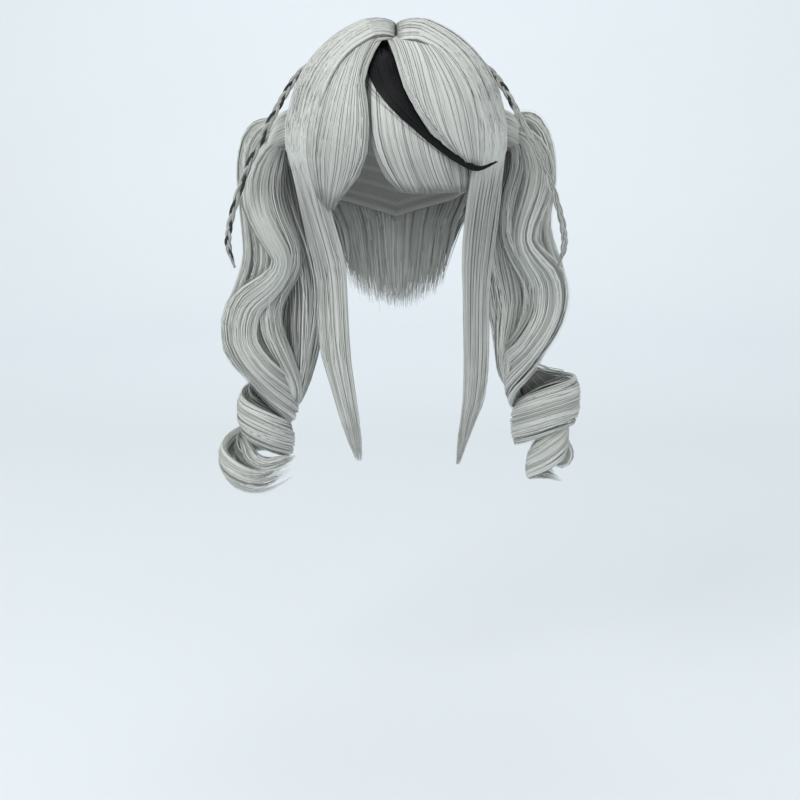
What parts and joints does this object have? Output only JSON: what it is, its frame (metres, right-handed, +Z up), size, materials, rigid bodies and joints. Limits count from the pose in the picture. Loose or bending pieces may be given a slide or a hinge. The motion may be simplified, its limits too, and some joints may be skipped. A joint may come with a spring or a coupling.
{
  "type": "twin ponytail wig",
  "caption": "Silver-grey wig with a parted crown, blunt fringe with a black streak, long side locks, curled twin ponytails and thin braids over a net cap.",
  "frame": {"origin": "crown of the head inside the cap, on the middle plane, where the cap sits", "axes": "+Z up along the wearer's height, -Y out of the face opening, +X towards the wearer's left; -Z from the seat into the head"},
  "size_m": [0.3398, 0.2138, 0.4397],
  "materials": {
    "hair": "silver-grey synthetic fibre, satin sheen",
    "black_hair": "black synthetic fibre, satin sheen",
    "cap_net": "matt stretch net with sewn wefts",
    "elastic": "matt covered elastic"
  },
  "bodies": {
    "root": {"wig_cap": "cap_net", "nape_hair": "hair", "fringe": "hair", "fringe_sweep_left": "hair", "fringe_sweep_right": "hair", "black_streak": "black_hair", "crown_hair_right": "hair", "crown_hair_left": "hair", "side_lock_right": "hair", "side_lock_left": "hair", "ponytail_right": "hair", "ponytail_left": "hair", "ponytail_tie_right": "elastic", "ponytail_tie_left": "elastic", "braid_right": "hair", "braid_left": "hair"}
  },
  "joints": []
}
